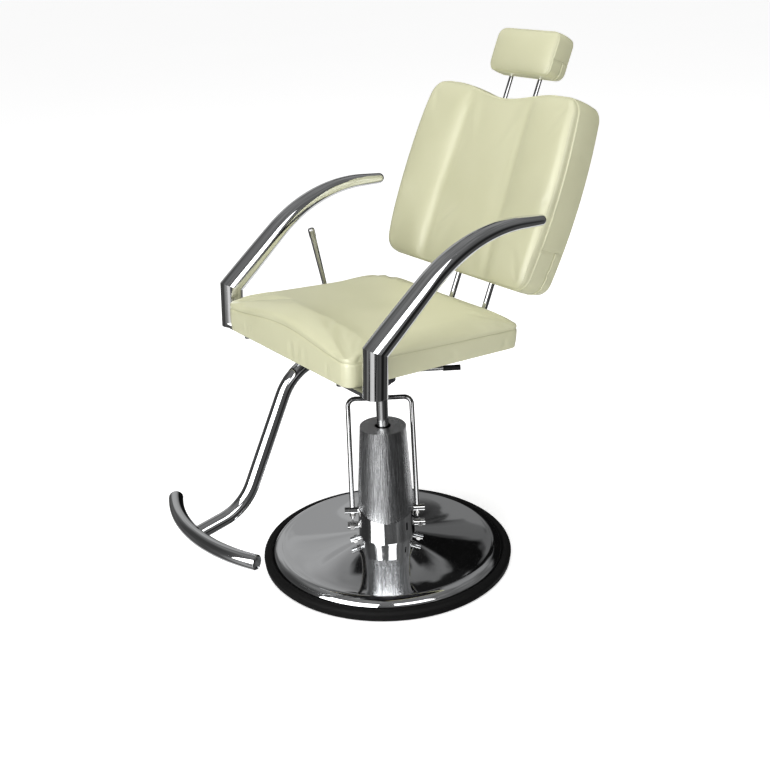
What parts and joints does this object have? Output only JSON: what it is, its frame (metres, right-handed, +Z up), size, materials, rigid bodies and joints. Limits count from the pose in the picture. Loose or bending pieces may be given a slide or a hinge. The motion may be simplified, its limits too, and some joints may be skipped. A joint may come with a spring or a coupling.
{
  "type": "threading chair",
  "caption": "Hydraulic salon chair with a round chrome base, bent tube arms and footrest, a padded seat, a reclining back and a sliding headrest.",
  "frame": {"origin": "on the floor, under the middle of the lift column", "axes": "+Z up along the column, -Y to the front of the chair, +X to the sitter's left"},
  "size_m": [0.6284, 1.0153, 1.1984],
  "materials": {
    "mirror_chrome": "polished",
    "satin_chrome": "satin",
    "rod_steel": "polished",
    "zinc_steel": "satin",
    "dark_steel": "satin",
    "black_paint": "gloss",
    "black_rubber": "satin",
    "cream_vinyl": "satin",
    "plywood": "matte",
    "bronze": "satin",
    "red_plastic": "matte"
  },
  "bodies": {
    "base": {"base_disc": "mirror_chrome", "base_rim": "black_rubber", "base_plate": "dark_steel", "base_bolts": "zinc_steel", "pump_body": "dark_steel", "pump_collar": "mirror_chrome", "pump_cover": "satin_chrome", "rod_bush": "bronze", "rod_seal": "black_rubber", "stop_bar": "mirror_chrome", "stop_bar_bolts": "zinc_steel"},
    "pedal": {"pump_bail": "mirror_chrome", "bail_shaft": "mirror_chrome", "bail_nuts": "zinc_steel"},
    "plunger": {"pump_plunger": "zinc_steel"},
    "column": {"piston_rod": "rod_steel", "piston_head": "zinc_steel", "thrust_ring": "zinc_steel"},
    "seat": {"swivel_hub": "dark_steel", "mounting_plate": "dark_steel", "frame_rails": "dark_steel", "frame_crossbars": "dark_steel", "seat_board": "plywood", "seat_cushion": "cream_vinyl", "frame_bolts": "zinc_steel", "arm_post_left": "mirror_chrome", "arm_post_right": "mirror_chrome", "arm_tube_left": "mirror_chrome", "arm_tube_right": "mirror_chrome", "post_caps": "mirror_chrome", "arm_brackets": "mirror_chrome", "footrest_stem": "mirror_chrome", "footrest_bar": "mirror_chrome", "footrest_caps": "mirror_chrome", "stem_clamp": "dark_steel", "hinge_cheeks": "dark_steel", "hinge_pin": "zinc_steel", "gas_hanger": "dark_steel", "gas_cylinder": "black_paint", "lever_bearings": "dark_steel"},
    "back": {"back_hinge_tube": "dark_steel", "back_posts": "mirror_chrome", "back_straps": "dark_steel", "back_board": "plywood", "back_cushion": "cream_vinyl", "back_panel": "cream_vinyl", "back_bolts": "zinc_steel", "headrest_sleeves": "zinc_steel"},
    "headrest": {"headrest_rods": "mirror_chrome", "headrest_board": "plywood", "headrest_cushion": "cream_vinyl"},
    "recline_handle": {"lever_shaft": "zinc_steel", "lever_arm": "mirror_chrome", "release_finger": "zinc_steel"},
    "valve": {"valve_button": "red_plastic"},
    "gas_piston": {"gas_rod": "rod_steel", "gas_pin": "zinc_steel"},
    "swivel_lock": {"lock_lever": "mirror_chrome", "lock_grip": "black_rubber"}
  },
  "joints": [
    {"name": "pedal_swing", "type": "hinge", "parent": "base", "child": "pedal", "pos_m": [0, 0, 0.122], "axis": [-0.5563, -0.831, 0], "range_deg": [0, 48], "stiffness_Nm_per_rad": 1.6, "springref_deg": -20.05},
    {"name": "plunger_stroke", "type": "slide", "parent": "base", "child": "plunger", "axis": [0, 0, -1], "range_m": [0, 0.0196]},
    {"name": "lift", "type": "slide", "parent": "base", "child": "column", "axis": [0, 0, 1], "range_m": [-0.1, 0.04]},
    {"name": "swivel", "type": "hinge", "parent": "column", "child": "seat", "pos_m": [0, 0, 0.458], "axis": [0, 0, 1], "continuous": true},
    {"name": "recline", "type": "hinge", "parent": "seat", "child": "back", "pos_m": [0, 0.23318, 0.52134], "axis": [-1, 0, 0], "range_deg": [-12, 45]},
    {"name": "gas_stroke", "type": "slide", "parent": "seat", "child": "gas_piston", "axis": [0, 0.999, -0.0452], "range_m": [-0.0322, 0.0087]},
    {"name": "headrest_height", "type": "slide", "parent": "back", "child": "headrest", "axis": [0, 0.3859, 0.9225], "range_m": [-0.03, 0.07]},
    {"name": "recline_release", "type": "hinge", "parent": "seat", "child": "recline_handle", "pos_m": [0, 0.04922, 0.53204], "axis": [-1, 0, 0], "range_deg": [0, 10], "stiffness_Nm_per_rad": 3, "springref_deg": -11.46},
    {"name": "valve_press", "type": "slide", "parent": "seat", "child": "valve", "axis": [0, -0.0452, -0.999], "range_m": [0, 0.0034]},
    {"name": "lock_turn", "type": "hinge", "parent": "seat", "child": "swivel_lock", "pos_m": [0, 0, 0.478], "axis": [0, 0, -1], "range_deg": [0, 25]}
  ],
  "couplings": [
    {"joint": "plunger_stroke", "follows": "pedal_swing", "m_per_rad": 0.0233},
    {"joint": "gas_stroke", "follows": "recline", "m_per_rad": -0.0403},
    {"joint": "valve_press", "follows": "recline_release", "m_per_rad": 0.0192}
  ]
}
